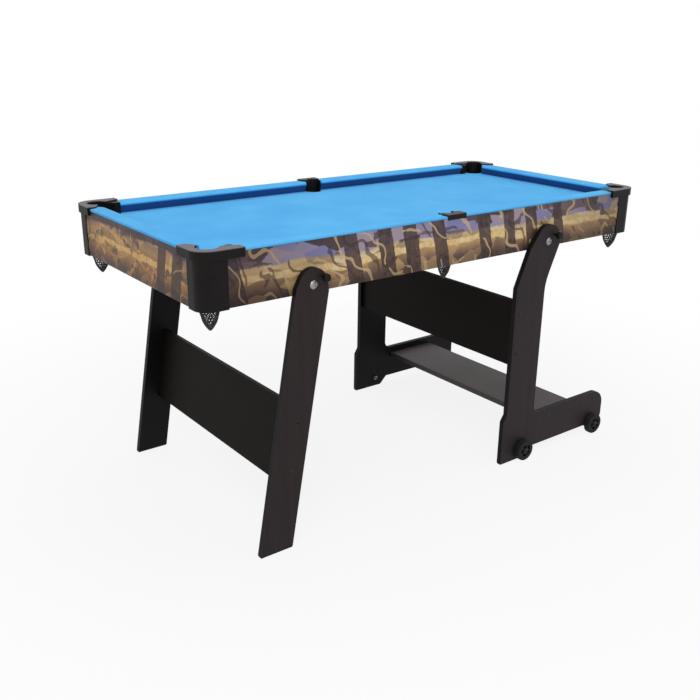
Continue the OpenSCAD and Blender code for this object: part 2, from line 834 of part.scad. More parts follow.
module base_shelf()
    color(board_color) difference() {
        translate([base_px + shelf_past, -leg_in, shelf_z - shelf_t])
            cube([shelf_w, 2 * leg_in, shelf_t]);
        base_screw_bores();
    }

module base_bushes()
    color(mould_color) for (far = [0, 1]) on_side(far) bush(base_px, base_pz);

module base_pads()
    color(mould_color) for (far = [0, 1])
        on_side(far) translate([base_px + heel_x + 1, -leg_out + 1, 0])
            cube([heel_sole - 2, leg_t - 2, pad_t]);

module base_screws()
    color(steel_color) for (far = [0, 1], place = base_screw_places)
        on_side(far) board_screw(base_px + place[0], place[1]);

// Axle bolt with a thrust collar against the board and a domed head outside the wheel
collar_r = 7;
axle_nut_h = 6;
axle_tail = 2;
module at_axles()
    for (far = [0, 1], x = [-wheel_back, wheel_front])
        on_side(far) translate([base_px + x, 0, wheel_d / 2]) children();

module wheel_axles()
    color(steel_color) at_axles() {
        head_y(0, -wheel_in - wheel_w - face_clear, 0, 2 * axle_r + 1, axle_head);
        bar_y(0, -wheel_in - wheel_w - face_clear - eps, 0, axle_r,
            wheel_in + wheel_w + face_clear - leg_in + axle_nut_h + axle_tail);
        bar_y(0, -wheel_in + face_clear, 0, collar_r, wheel_gap - face_clear);
    }

module axle_nuts()
    color(steel_color) at_axles() difference() {
        translate([0, -leg_in, 0]) rotate([-90, 0, 0])
            cylinder(r = 2 * axle_r - 0.5, h = axle_nut_h, $fn = 6);
        bar_y(0, -leg_in - 1, 0, axle_r + snug, axle_nut_h + 2);
    }

// Hub about +Z, dished between five spokes on its outer face
hub_rim = 3;
hub_core = 10;
hub_dish = 6;
spokes = 5;
spoke_t = 4;
module hub_about_z()
    difference() {
        cylinder(r = hub_r, h = wheel_w);
        translate([0, 0, -1]) cylinder(r = axle_r + run_clear, h = wheel_w + 2);
        difference() {
            translate([0, 0, wheel_w - hub_dish]) cylinder(r = hub_r - hub_rim, h = hub_dish + 1);
            cylinder(r = hub_core, h = wheel_w + 2);
            for (i = [0:spokes - 1])
                rotate([0, 0, 360 * i / spokes]) translate([0, -spoke_t / 2, 0])
                    cube([hub_r, spoke_t, wheel_w + 2]);
        }
    }

module tyre_about_z()
    rotate_extrude($fn = 96) difference() {
        translate([hub_r + snug, 0]) square([wheel_d / 2 - hub_r - snug, wheel_w]);
        for (top = [0, 1])
            translate([wheel_d / 2, top * wheel_w]) mirror([1, 0]) mirror([0, top])
                corner_bite(tyre_round);
    }

module wheel_place(x, far)
    on_side(far) translate([base_px + x, -wheel_in, wheel_d / 2]) rotate([90, 0, 0]) children();

module heel_wheel_near() color(mould_color) wheel_place(-wheel_back, 0) hub_about_z();
module heel_wheel_far() color(mould_color) wheel_place(-wheel_back, 1) hub_about_z();
module end_wheel_near() color(mould_color) wheel_place(wheel_front, 0) hub_about_z();
module end_wheel_far() color(mould_color) wheel_place(wheel_front, 1) hub_about_z();
module heel_tyre_near() color(mould_color) wheel_place(-wheel_back, 0) tyre_about_z();
module heel_tyre_far() color(mould_color) wheel_place(-wheel_back, 1) tyre_about_z();
module end_tyre_near() color(mould_color) wheel_place(wheel_front, 0) tyre_about_z();
module end_tyre_far() color(mould_color) wheel_place(wheel_front, 1) tyre_about_z();

// Lock pin, drawn out: its tip stops just short of the apron
pin_short = 0.4;
knob_neck = 4;
module lock_pin(px, pz) {
    knob_y = -leg_out - lock_travel - 2 * face_clear;
    bar_y(px + lock_x, knob_y - eps, pz + lock_z, lock_r, -knob_y - half_w - pin_short + eps);
    bar_y(px + lock_x, knob_y - knob_neck - eps, pz + lock_z, knob_r - 2, knob_neck + eps);
    translate([px + lock_x, knob_y - knob_neck, pz + lock_z]) rotate([90, 0, 0])
        rotate_extrude() difference() {
            square([knob_r, knob_l - knob_neck]);
            translate([knob_r, knob_l - knob_neck]) mirror([1, 0]) mirror([0, 1])
                corner_bite(knob_r / 3);
        }
}

module end_lock_pin_near() color(mould_color) lock_pin(end_px, end_pz);
module end_lock_pin_far() color(mould_color) on_side(1) lock_pin(end_px, end_pz);
module base_lock_pin_near() color(mould_color) lock_pin(base_px, base_pz);
module base_lock_pin_far() color(mould_color) on_side(1) lock_pin(base_px, base_pz);

bed_board();
bed_cloth();
side_apron_near();
side_apron_far();
end_apron_left();
end_apron_right();
cushion_near_left();
cushion_near_right();
cushion_far_left();
cushion_far_right();
cushion_left_end();
cushion_right_end();
cushion_strips();
corner_cap_near_left();
corner_cap_near_right();
corner_cap_far_left();
corner_cap_far_right();
middle_pocket_near();
middle_pocket_far();
net_near_left();
net_near_middle();
net_near_right();
net_far_left();
net_far_middle();
net_far_right();
bed_battens();
cross_rails();
pivot_blocks();
pivot_bolts();
pivot_nuts();
pivot_spacers();
bed_screws();
cap_screws();
end_leg_near();
end_leg_far();
end_stretcher();
end_leg_bushes();
end_leg_pads();
end_leg_screws();
base_side_near();
base_side_far();
base_stretcher();
base_shelf();
base_bushes();
base_pads();
base_screws();
wheel_axles();
axle_nuts();
end_lock_pin_near();
end_lock_pin_far();
base_lock_pin_near();
base_lock_pin_far();
heel_wheel_near();
heel_wheel_far();
end_wheel_near();
end_wheel_far();
heel_tyre_near();
heel_tyre_far();
end_tyre_near();
end_tyre_far();
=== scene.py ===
import json
import math

import bmesh
import bpy
from mathutils import Matrix, Vector


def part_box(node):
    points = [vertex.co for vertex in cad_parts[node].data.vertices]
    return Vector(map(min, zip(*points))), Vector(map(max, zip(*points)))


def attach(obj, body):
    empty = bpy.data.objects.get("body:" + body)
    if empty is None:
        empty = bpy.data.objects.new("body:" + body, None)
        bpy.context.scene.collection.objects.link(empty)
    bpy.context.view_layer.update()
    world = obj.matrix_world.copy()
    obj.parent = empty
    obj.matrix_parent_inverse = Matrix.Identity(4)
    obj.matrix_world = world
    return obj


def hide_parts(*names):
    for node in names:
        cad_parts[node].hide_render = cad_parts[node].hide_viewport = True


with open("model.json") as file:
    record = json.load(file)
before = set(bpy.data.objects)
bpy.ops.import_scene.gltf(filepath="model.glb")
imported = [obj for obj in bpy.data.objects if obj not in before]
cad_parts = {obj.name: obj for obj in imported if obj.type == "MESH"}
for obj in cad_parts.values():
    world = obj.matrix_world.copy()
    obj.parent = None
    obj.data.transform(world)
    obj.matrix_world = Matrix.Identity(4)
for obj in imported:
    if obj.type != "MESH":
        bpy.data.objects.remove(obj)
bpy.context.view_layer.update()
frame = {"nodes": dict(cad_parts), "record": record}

BODY_OF = {
    node: body
    for body, nodes in frame["record"]["behaviour"]["bodies"].items()
    for node in nodes
}
X, Y, Z = range(3)

# Sizes of the table, in metres, as in the part's source
HALF_L, HALF_W = 0.760, 0.352
APRON_Z, APRON_TOP, RAIL_Z = 0.665, 0.791, 0.797
APRON_H = APRON_TOP - APRON_Z
LEG_OUT = 0.372
NOSE_DROP = 0.007
CHEEK_L, FACE_CLEAR = 0.104, 0.0005
MIDDLE_IN, MIDDLE_R = 0.041, 0.0225
MIDDLE_JAW_GAP, MIDDLE_JAW_ANGLE = 0.0055, 20
END_START, CORNER_JAW = 0.0492, 0.030 * math.sqrt(2)

# Gap between a covered cushion's jaw and the place of its solid's jaw
JAW_CLEAR = 0.0002
# Depth of a board's outer face that carries the print or the paler laminate
FILM = 0.0012
# Heights over the rail top between which a plate's moulding turns to its paler top colour, a painted
# highlight
PAINTED_SHEEN_FROM, PAINTED_SHEEN_TO = 0.0022, 0.0048
# A cushion's cloth is painted dark, as painted shade, from this far below its nose, and plain from this
# far above it
NOSE_BELOW, NOSE_ABOVE = 0.004, 0.003

# Rounding of edges
BOARD_EDGE, PRINT_EDGE = 0.0012, 0.0006
CAP_EDGE, PLATE_EDGE, PIN_EDGE, WHEEL_EDGE, HEAD_EDGE = 0.0012, 0.0010, 0.0005, 0.0005, 0.00025
CUSHION_EDGE, CLOTH_EDGE = 0.0018, 0.0004
# Angles in degrees from which an edge is rounded, and up to which it is shaded smooth
SHARP, CUSHION_SHARP, SMOOTH = 35.0, 50.0, 55
# Distance in metres and angle in degrees within which loose triangles are joined
SAME_POINT, SAME_FACE = 2e-6, 0.6

# Nets: strands each way, turns and steps of one strand, and where it stops short of the tip
STRANDS, STRAND_TURNS, STRAND_STEPS, STRAND_END = 16, 0.625, 44, 0.992
# Sway of a strand as a share of its radius, and its half waves
SWAY, HALF_WAVES = 0.02, 10
# Radii of the cord, the hem and the tied tip; the knot's size, and the depth and turn of its winding
NET_CORD, NET_HEM, NET_TIP = 0.0012, 0.0017, 0.0012
KNOT_R, KNOT_H, KNOT_WOUND, KNOT_TURN = 0.0046, 0.0070, 0.07, 14

# Camera of the photograph, solved from the table's edges
CAMERA_AT = (-1.60267, -1.98953, 1.24873)
YAW, PITCH, ROLL = -0.652886, 0.351105, 0.012438
FOCAL_PIXELS, FRAME_PIXELS, SENSOR_MM = 868.5798, 700, 36.0

# Floor: half its side, its grey, and the distances over which it fades to white from this share
FLOOR_HALF, FLOOR_GREY = 14.0, (0.86, 0.86, 0.86, 1)
FADE_FROM, FADE_TO, NEAR_SHARE = 0.7, 2.2, 0.86
# Colour and strength of the soft light all round
SOFT_LIGHT, SOFT_STRENGTH = (0.94, 0.97, 1.0, 1), 0.34


def srgb(r, g, b):
    """Linear colour of a screen colour in 0 to 255."""
    shares = (r / 255, g / 255, b / 255)
    linear = (v / 12.92 if v <= 0.04045 else ((v + 0.055) / 1.055) ** 2.4 for v in shares)
    return tuple(linear) + (1.0,)


def shade(colour, share):
    """A colour darkened or lightened by this share."""
    return tuple(min(v * share, 1.0) for v in colour[:3]) + (1.0,)


# Blue cloth in two tones, and the deep blue of painted shade below a cushion's nose
CLOTH, CLOTH_NOSE_SHADE = (srgb(72, 173, 241), srgb(98, 199, 255)), srgb(8, 48, 110)

# Ground of the print, from the apron's lower edge to its top
PRINT_GROUND = [
    (0.00, srgb(70, 49, 50)),
    (0.14, srgb(108, 86, 80)),
    (0.26, srgb(154, 121, 92)),
    (0.38, srgb(200, 160, 108)),
    (0.50, srgb(228, 186, 120)),
    (0.60, srgb(238, 214, 174)),
    (0.72, srgb(196, 168, 146)),
    (0.86, srgb(132, 121, 152)),
    (1.00, srgb(80, 64, 76)),
]
# Figures of the print, and the scale of each kind, larger for smaller figures
PALE_PATCH, DARK_PATCH = (srgb(214, 178, 122), srgb(172, 138, 104)), srgb(104, 78, 66)
DARK_SKY, PALE_SKY = (srgb(60, 44, 52), srgb(122, 98, 104)), (srgb(138, 138, 188), srgb(178, 160, 170))
SLAB, GOLD = (srgb(44, 31, 34), srgb(96, 74, 72)), (srgb(232, 186, 104), srgb(255, 236, 194))
DARK_STROKE, PALE_STROKE = srgb(66, 48, 46), srgb(222, 192, 142)
PATCHES, SLABS, STROKES = 24.0, 11.0, 6.0
# Specks, shadow and warmth that darken the print, its blots, top strip and bare back
SPECK, SHADOW, WARMTH = srgb(70, 58, 56), srgb(92, 68, 66), srgb(246, 206, 138)
BLOT, TOP_STRIP = (srgb(50, 36, 32), srgb(100, 74, 58)), (srgb(40, 30, 34), srgb(76, 62, 68))
APRON_BACK = (srgb(132, 100, 72), srgb(166, 132, 98))

BOARD_WEAR, MOULDING_WEAR = srgb(84, 72, 66), srgb(84, 78, 78)
BLACK_MOULDING, GREY_MOULDING = (srgb(13, 10, 9), srgb(22, 18, 17)), (srgb(16, 16, 20), srgb(29, 30, 34))
BLACK_CORD, BLACK_RUBBER = (srgb(18, 16, 17), srgb(62, 58, 60)), (srgb(13, 13, 15), srgb(30, 29, 31))
BARE_BOARD, SOFTWOOD = (srgb(140, 108, 78), srgb(172, 138, 102)), (srgb(178, 140, 92), srgb(216, 182, 132))
ZINC, BLACK_OXIDE = (srgb(128, 126, 128), srgb(168, 166, 168)), (srgb(38, 35, 36), srgb(62, 58, 60))

# Waves of the weave and of the cord's twist in radians per metre, and of wood rings over the grain
WEAVE, TWIST_ROUND, TWIST_UP, RINGS = 5200, 1800, 2600, 60


class Value:
    """The output of a node; arithmetic on it adds Math nodes."""

    def __init__(self, nodes, socket):
        self.nodes, self.socket = nodes, socket

    def math(self, operation, *terms):
        return self.nodes.node("ShaderNodeMath", {"operation": operation}, dict(enumerate(terms)))

    def __add__(self, other):
        return self.math("ADD", self, other)

    def __sub__(self, other):
        return self.math("SUBTRACT", self, other)

    def __rsub__(self, other):
        return self.math("SUBTRACT", other, self)

    def __mul__(self, other):
        return self.math("MULTIPLY", self, other)

    def __truediv__(self, other):
        return self.math("DIVIDE", self, other)

    def __lt__(self, other):
        return self.math("LESS_THAN", self, other)

    def __gt__(self, other):
        return self.math("GREATER_THAN", self, other)

    __radd__ = __add__
    __rmul__ = __mul__

    def sine(self):
        return self.math("SINE", self)

    def size(self):
        return self.math("ABSOLUTE", self)

    def at_least(self, other):
        return self.math("MAXIMUM", self, other)

    def between(self, low, high, bottom=0.0, top=1.0):
        """The bottom value at low, the top value at high, and a smooth step between them."""
        settings = {"interpolation_type": "SMOOTHSTEP"}
        values = {"Value": self, "From Min": low, "From Max": high, "To Min": bottom, "To Max": top}
        return self.nodes.node("ShaderNodeMapRange", settings, values)

    def output(self, name):
        """Another output of the same node."""
        return Value(self.nodes, self.socket.node.outputs[name])


class Nodes:
    """A node tree, and the one method that adds nodes to it."""

    def __init__(self, tree):
        self.tree = tree

    def node(self, kind, settings, values, output=0):
        """Adds a node: its settings first, then the values or links of its sockets."""
        made = self.tree.nodes.new(kind)
        for name, setting in settings.items():
            if name == "stops":
                while len(made.color_ramp.elements) < len(setting):
                    made.color_ramp.elements.new(0.5)
                for element, (position, colour) in zip(made.color_ramp.elements, setting):
                    element.position, element.color = position, colour
            else:
                setattr(made, name, setting)
        for name, value in values.items():
            self.feed(made.inputs[name], value)
        return Value(self, made.outputs[output]) if made.outputs else None

    def feed(self, socket, value):
        """Links a node's output, or each of a list of them, to a socket, or sets a value there."""
        if isinstance(value, Value):
            self.tree.links.new(value.socket, socket)
        elif isinstance(value, list):
            for each in value:
                self.feed(socket, each)
        else:
            socket.default_value = value

    def rays(self, first, *others):
        """1 for a light ray of any of these kinds, and 0 for another."""
        seen = self.node("ShaderNodeLightPath", {}, {}, f"Is {first} Ray")
        for kind in others:
            seen = seen.at_least(self.node("ShaderNodeLightPath", {}, {}, f"Is {kind} Ray"))
        return seen


class Finish(Nodes):
    """One material and the nodes that make it."""

    def __init__(self, name):
        self.material = bpy.data.materials.new(name)
        self.material.use_nodes = True
        super().__init__(self.material.node_tree)
        self.shader = self.tree.nodes["Principled BSDF"]
        self.place = self.node("ShaderNodeTexCoord", {}, {}, "Object")

    def parts(self, vector):
        """The three numbers of a vector or a colour."""
        first = self.node("ShaderNodeSeparateXYZ", {}, {0: vector})
        return [first.output(i) for i in range(3)]

    def axes(self):
        """Object coordinates X, Y and Z in metres."""
        return self.parts(self.place)

    def point(self, x, y, z):
        return self.node("ShaderNodeCombineXYZ", {}, {0: x, 1: y, 2: z})

    def grained(self, along, across_scale, along_scale):
        """Object coordinates scaled for a grain that runs along one axis."""
        scale = tuple(along_scale if axis == along else across_scale for axis in (X, Y, Z))
        return self.node("ShaderNodeMapping", {}, {"Vector": self.place, "Scale": scale})

    def noise(self, scale, detail=3.0, roughness=0.5, at=None):
        values = {"Vector": at or self.place, "Scale": scale, "Detail": detail, "Roughness": roughness}
        return self.node("ShaderNodeTexNoise", {}, values, "Fac")

    def cells(self, scale, at):
        """Random colours of cells of random shape."""
        return self.node("ShaderNodeTexVoronoi", {}, {"Vector": at, "Scale": scale}, "Color")

    def stripes(self, scale, at):
        """Bands of random width along one line."""
        values = {"W": at, "Scale": scale, "Randomness": 0.85}
        return self.node("ShaderNodeTexVoronoi", {"voronoi_dimensions": "1D"}, values)

    def ramp(self, factor, stops):
        return self.node("ShaderNodeValToRGB", {"stops": stops}, {"Fac": factor}, "Color")

    def blend(self, factor, colours, start=0.3, end=0.7):
        """From the first colour to the second as the factor goes from start to end."""
        return self.ramp(factor, [(start, colours[0]), (end, colours[1])])

    def mix(self, factor, first, second, way="MIX"):
        settings = {"data_type": "RGBA", "blend_type": way}
        return self.node("ShaderNodeMix", settings, {0: factor, 6: first, 7: second}, 2)

    def bump(self, height, depth, strength):
        values = {"Height": height, "Distance": depth, "Strength": strength}
        return self.node("ShaderNodeBump", {}, values)

    def edge_wear(self, radius):
        """1 on sharp edges and 0 on flats, from the bevelled normal."""
        rounded = self.node("ShaderNodeBevel", {"samples": 4}, {"Radius": radius}, "Normal")
        flat = self.node("ShaderNodeNewGeometry", {}, {}, "Normal")
        settings = {"operation": "DOT_PRODUCT"}
        return 1 - self.node("ShaderNodeVectorMath", settings, {0: rounded, 1: flat}, "Value")

    def surface(self, **sockets):
        """Sets the shader's sockets; spaces in their names are underscores here."""
        for name, value in sockets.items():
            self.feed(self.shader.inputs[name.replace("_", " ")], value)
        return self.material


def cloth_finish(name, nose=False):
    """Blue pool cloth: short woven nap with faint blotches, and painted shade that deepens the blue below
    a cushion's nose.
    """
    f = Finish(name)
    x, y, z = f.axes()
    weave = (x * WEAVE).sine() * (y * WEAVE + z * WEAVE).sine()
    nap = f.noise(900.0, detail=2.0, roughness=0.6)
    blotch = f.noise(7.0, detail=3.0, roughness=0.55)
    colour = f.blend(blotch * 0.55 + nap * 0.45, CLOTH)
    # Painted shade: the cloth below a cushion's nose is coloured a deeper blue
    if nose:
        nose_z = RAIL_Z - NOSE_DROP
        painted_nose_shade = 1 - z.between(nose_z - NOSE_BELOW, nose_z + NOSE_ABOVE)
        colour = f.mix(painted_nose_shade * (nap * 0.2 + 0.8), colour, CLOTH_NOSE_SHADE)
    return f.surface(
        Base_Color=colour,
        Roughness=nap * 0.12 + 0.82,
        Normal=f.bump(weave * 0.35 + nap, depth=0.00025, strength=0.6),
        Sheen_Weight=0.10,
        Sheen_Roughness=0.5,
        Specular_IOR_Level=0.12,
    )


def print_finish(name, along, shift, slab_floor, sky_from, spread, top_strip=0):
    """Apron laminate: banded ground with patches, leaning slabs and thin winding strokes."""
    f = Finish(name)
    axes = f.axes()
    half_along, half_across = (HALF_L, HALF_W) if along == X else (HALF_W, HALF_L)
    s = axes[along] + shift
    z = axes[Z] - APRON_Z
    h = z / APRON_H
    here = f.point(s, 0.0, z)
    grain = f.noise(70.0, detail=5.0, roughness=0.62, at=here)
    drift = f.noise(7.0, detail=3.0, roughness=0.55, at=here)
    fine = f.noise(380.0, detail=3.0, roughness=0.6, at=here)
    rough, sway = grain - 0.5, drift - 0.5

    wide = f.point(s * 0.75 + rough * 0.02, 0.0, z * 1.25 + sway * 0.03)
    warm, cool, _ = f.parts(f.cells(PATCHES, wide))
    pale_patch, dark_patch, pale_sky = warm > 0.62, warm < 0.24, cool > 0.52
    low = f.ramp((h - 0.45) * spread + 0.45 + sway * 0.5 + rough * 0.14, PRINT_GROUND)
    low = f.mix(pale_patch * 0.6, low, f.blend(warm, PALE_PATCH, 0.6, 1.0))
    low = f.mix(dark_patch * 0.55, low, DARK_PATCH)
    high = f.mix(
        pale_sky,
        f.blend(cool, DARK_SKY, 0.0, 0.5),
        f.blend(warm, PALE_SKY, 0.0, 1.0),
    )
    sky = (h + rough * 0.10 + sway * 0.25).between(sky_from, sky_from + 0.05)
    colour = f.mix(sky * 0.92, low, high)

    band = f.stripes(SLABS, s + z * 0.22 + sway * 0.02)
    in_band = band.output("Distance") + rough * 0.06 < 0.25
    slab = in_band * (f.parts(band.output("Color"))[0] > slab_floor)
    off_gold = (h + sway * 0.5 - 0.46).size()
    gold = (1 - off_gold.between(0.045, 0.08)) * (1 - slab)
    colour = f.mix(slab * 0.9, colour, f.blend(grain, SLAB, 0.35, 0.7))
    colour = f.mix(gold * 0.9, colour, f.blend(grain, GOLD))

    settings = {"wave_type": "BANDS", "bands_direction": "DIAGONAL"}
    values = {"Vector": here, "Scale": STROKES, "Distortion": 9.0, "Detail": 1.5, "Detail Scale": 1.6}
    wave = f.node("ShaderNodeTexWave", settings, values, "Fac")
    dark_stroke = (wave > 0.955) * (drift > 0.46)
    pale_stroke = (wave < 0.03) * (drift > 0.44)
    colour = f.mix(dark_stroke * 0.7, colour, DARK_STROKE)
    colour = f.mix(pale_stroke * 0.70, colour, PALE_STROKE)

    far_out = axes[along].size().between(0.42 * half_along, 0.88 * half_along)
    low_down = (h + sway * 0.3).between(0.30, 0.05)
    colour = f.mix(fine * 0.14, colour, SPECK, "MULTIPLY")
    colour = f.mix(far_out * 0.45 + low_down * 0.35, colour, SHADOW, "MULTIPLY")
    if top_strip:
        spots = f.noise(30.0, detail=4.0, roughness=0.62, at=f.point(s * 0.8, 2.0, z))
        edge = z + rough * 0.004 > APRON_H - top_strip
        colour = f.mix(0.55, colour, WARMTH, "MULTIPLY")
        colour = f.mix(spots.between(0.53, 0.60) * 0.8, colour, f.blend(grain, BLOT))
        colour = f.mix(edge * 0.88, colour, f.blend(fine, TOP_STRIP))
    outside = axes[Y if along == X else X].size() > half_across - FILM
    colour = f.mix(outside, f.blend(grain * 0.6 + fine * 0.4, APRON_BACK), colour)
    return f.surface(
        Base_Color=colour,
        Roughness=grain * 0.12 + 0.42,
        Normal=f.bump(fine, depth=0.00012, strength=0.35),
        Specular_IOR_Level=0.25,
    )


def board_finish(name, along, tone, gloss, inner_shade=None):
    """Black-brown laminate with a faint grain along one axis; a leg's inside faces are much darker, as
    painted shade.
    """
    f = Finish(name)
    stretched = f.grained(along, across_scale=55.0, along_scale=3.5)
    grain = f.noise(1.0, detail=6.0, roughness=0.62, at=stretched)
    pores = f.noise(6.0, detail=3.0, roughness=0.6, at=stretched)
    smudge = f.noise(5.0, detail=2.0)
    mottle = grain * 0.7 + smudge * 0.3
    colour = f.blend(mottle, (shade(tone, 0.78), shade(tone, 1.25)), 0.30, 0.72)
    # Painted shade: a leg's inside faces get a much darker copy of the laminate
    if inner_shade:
        outside = f.axes()[Y].size() > LEG_OUT - FILM
        back = f.blend(mottle, (shade(inner_shade, 0.8), shade(inner_shade, 1.25)), 0.30, 0.72)
        colour = f.mix(outside, back, colour)
    wear = f.edge_wear(radius=0.0015).between(0.02, 0.25)
    colour = f.mix(wear * 0.25, colour, BOARD_WEAR)
    return f.surface(
        Base_Color=colour,
        Roughness=smudge * 0.14 + pores * 0.10 + 0.40,
        Normal=f.bump(pores, depth=0.00015, strength=0.35),
        Specular_IOR_Level=gloss,
    )


def moulding_finish(name, colours, top=None):
    """Moulded plastic with a fine grain; the plates on the rails get a paler top colour, a painted
    highlight for the gloss on their tops.
    """
    f = Finish(name)
    grain = f.noise(1500.0, detail=2.0, roughness=0.5)
    smudge = f.noise(22.0, detail=3.0)
    colour = f.blend(smudge, colours)
    # Painted highlight: the paler top colour stands for the gloss on the plates' tops
    if top:
        painted_sheen = f.axes()[Z].between(RAIL_Z + PAINTED_SHEEN_FROM, RAIL_Z + PAINTED_SHEEN_TO)
        colour = f.mix(painted_sheen, colour, f.blend(smudge, (shade(top, 0.85), shade(top, 1.15))))
    wear = f.edge_wear(radius=0.0012).between(0.02, 0.3)
    colour = f.mix(wear * 0.3, colour, MOULDING_WEAR)
    return f.surface(
        Base_Color=colour,
        Roughness=smudge * 0.16 + grain * 0.08 + 0.36,
        Normal=f.bump(grain, depth=0.0002, strength=0.4),
        Specular_IOR_Level=0.14,
    )


def cord_finish(name):
    """Twisted black cord of the nets."""
    f = Finish(name)
    x, y, z = f.axes()
    twist = ((x + y) * TWIST_ROUND + z * TWIST_UP).sine()
    fuzz = f.noise(1400.0, detail=2.0)
    return f.surface(
        Base_Color=f.blend(fuzz * 0.6 + twist * 0.12 + 0.2, BLACK_CORD, 0.3, 0.8),
        Roughness=fuzz * 0.2 + 0.6,
        Normal=f.bump(twist * 0.5 + fuzz, depth=0.0004, strength=0.6),
    )


def wood_finish(name, along, colours):
    """Planed softwood or fibreboard."""
    f = Finish(name)
    stretched = f.grained(along, across_scale=38.0, along_scale=2.2)
    grain = f.noise(1.0, detail=5.0, roughness=0.6, at=stretched)
    rings = ((grain * RINGS).sine() * 0.5 + 0.5) * 0.35 + grain * 0.65
    fibre = f.noise(300.0, detail=2.0)
    return f.surface(
        Base_Color=f.blend(rings, colours, 0.25, 0.75),
        Roughness=fibre * 0.2 + 0.62,
        Normal=f.bump(rings * 0.6 + fibre * 0.4, depth=0.0002, strength=0.5),
    )


def steel_finish(name, colours, rough):
    """Plated or blackened steel with fine turning marks."""
    f = Finish(name)
    marks = f.noise(900.0, detail=2.0)
    cloud = f.noise(60.0, detail=3.0)
    return f.surface(
        Base_Color=f.blend(cloud, colours),
        Metallic=1.0,
        Roughness=marks * 0.15 + cloud * 0.1 + rough,
        Normal=f.bump(marks, depth=0.00008, strength=0.4),
    )


def rubber_finish(name):
    """Matt black rubber with dust."""
    f = Finish(name)
    dust = f.noise(45.0, detail=4.0, roughness=0.6)
    grain = f.noise(1100.0, detail=2.0)
    return f.surface(
        Base_Color=f.blend(dust, BLACK_RUBBER, 0.3, 0.75),
        Roughness=dust * 0.15 + 0.68,
        Normal=f.bump(grain, depth=0.0003, strength=0.5),
        Specular_IOR_Level=0.25,
    )


BED_CLOTH = cloth_finish("cloth")
# The cushions' cloth carries painted shade below the nose
CUSHION_CLOTH = cloth_finish("cushion_cloth", nose=True)
PRINT_SIDE = print_finish("print_side", X, shift=3.0, slab_floor=0.42, sky_from=0.64, spread=1.0)
PRINT_END = print_finish(
    "print_end", Y, shift=7.3, slab_floor=0.70, sky_from=0.80, spread=0.8, top_strip=0.015
)
# The legs' inside faces carry painted shade
BOARD_UP = board_finish("board_upright", Z, srgb(47, 39, 40), gloss=0.12, inner_shade=srgb(15, 12, 12))
# The stretchers' much darker tone of the same laminate is painted shade under the table
BOARD_ACROSS = board_finish("board_across", Y, srgb(19, 14, 12), gloss=0.06)
# The shelf's paler tone of the same laminate is a painted highlight on its upward face
BOARD_SHELF = board_finish("board_shelf", Y, srgb(64, 54, 56), gloss=0.4)
# The plates' paler top colours are painted highlight
MOULDING = moulding_finish("moulding", BLACK_MOULDING, top=srgb(104, 97, 102))
MIDDLE_MOULDING = moulding_finish("middle_moulding", BLACK_MOULDING, top=srgb(62, 55, 60))
WHEEL_PLASTIC = moulding_finish("wheel_plastic", GREY_MOULDING)
CORD = cord_finish("net_cord")
FIBREBOARD = wood_finish("fibreboard", X, BARE_BOARD)
WOOD_LONG = wood_finish("softwood_long", X, SOFTWOOD)
WOOD_ACROSS = wood_finish("softwood_across", Y, SOFTWOOD)
STEEL = steel_finish("steel", ZINC, rough=0.26)
DARK_STEEL = steel_finish("black_steel", BLACK_OXIDE, rough=0.34)
RUBBER = rubber_finish("rubber")


def new_object(name, build, finish=None):
    """A mesh object at the origin from a filled bmesh, which is freed."""
    mesh = bpy.data.meshes.new(name)
    build.to_mesh(mesh)
    build.free()
    if finish:
        mesh.materials.append(finish)
    thing = bpy.data.objects.new(name, mesh)
    bpy.context.collection.objects.link(thing)
    return thing


def declare(piece, node):
    """The piece stands for a CAD node and moves with its body."""
    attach(piece, BODY_OF[node])
    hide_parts(node)


def apply_modifiers(piece):
    """Turns the piece's modifiers into plain mesh."""
    depsgraph = bpy.context.evaluated_depsgraph_get()
    mesh = bpy.data.meshes.new_from_object(piece.evaluated_get(depsgraph))
    piece.modifiers.clear()
    old = piece.data
    piece.data = mesh
    mesh.name = old.name
    bpy.data.meshes.remove(old)


def shade_smooth(piece):
    """Every face shaded smooth, which sharp edges may still part."""
    for face in piece.data.polygons:
        face.use_smooth = True


def ease_edges(piece, width, segments=2, sharp=SHARP):
    """Rounds the sharp edges a little, so that they catch light."""
    bevel = piece.modifiers.new("edge", "BEVEL")
    bevel.width = width
    bevel.segments = segments
    bevel.limit_method = "ANGLE"
    bevel.angle_limit = math.radians(sharp)
    bevel.use_clamp_overlap = True
    bevel.miter_outer = "MITER_ARC"
    normals = piece.modifiers.new("normals", "WEIGHTED_NORMAL")
    normals.keep_sharp = True
    shade_smooth(piece)
    piece.data.set_sharp_from_angle(angle=math.radians(SMOOTH))
    apply_modifiers(piece)


def merged(node):
    """The CAD node's mesh with its loose triangles joined into faces."""
    build = bmesh.new()
    build.from_mesh(frame["nodes"][node].data)
    bmesh.ops.remove_doubles(build, verts=build.verts, dist=SAME_POINT)
    angle = math.radians(SAME_FACE)
    bmesh.ops.dissolve_limit(build, angle_limit=angle, verts=build.verts, edges=build.edges)
    return build


def eased(node, width, finish, segments=2):
    """The CAD node's shape with eased edges."""
    piece = new_object(node + "_eased", merged(node), finish)
    ease_edges(piece, width, segments)
    declare(piece, node)


def finish_node(node, finish):
    """A CAD node that stays gets its material."""
    mesh = frame["nodes"][node].data
    mesh.materials.clear()
    mesh.materials.append(finish)


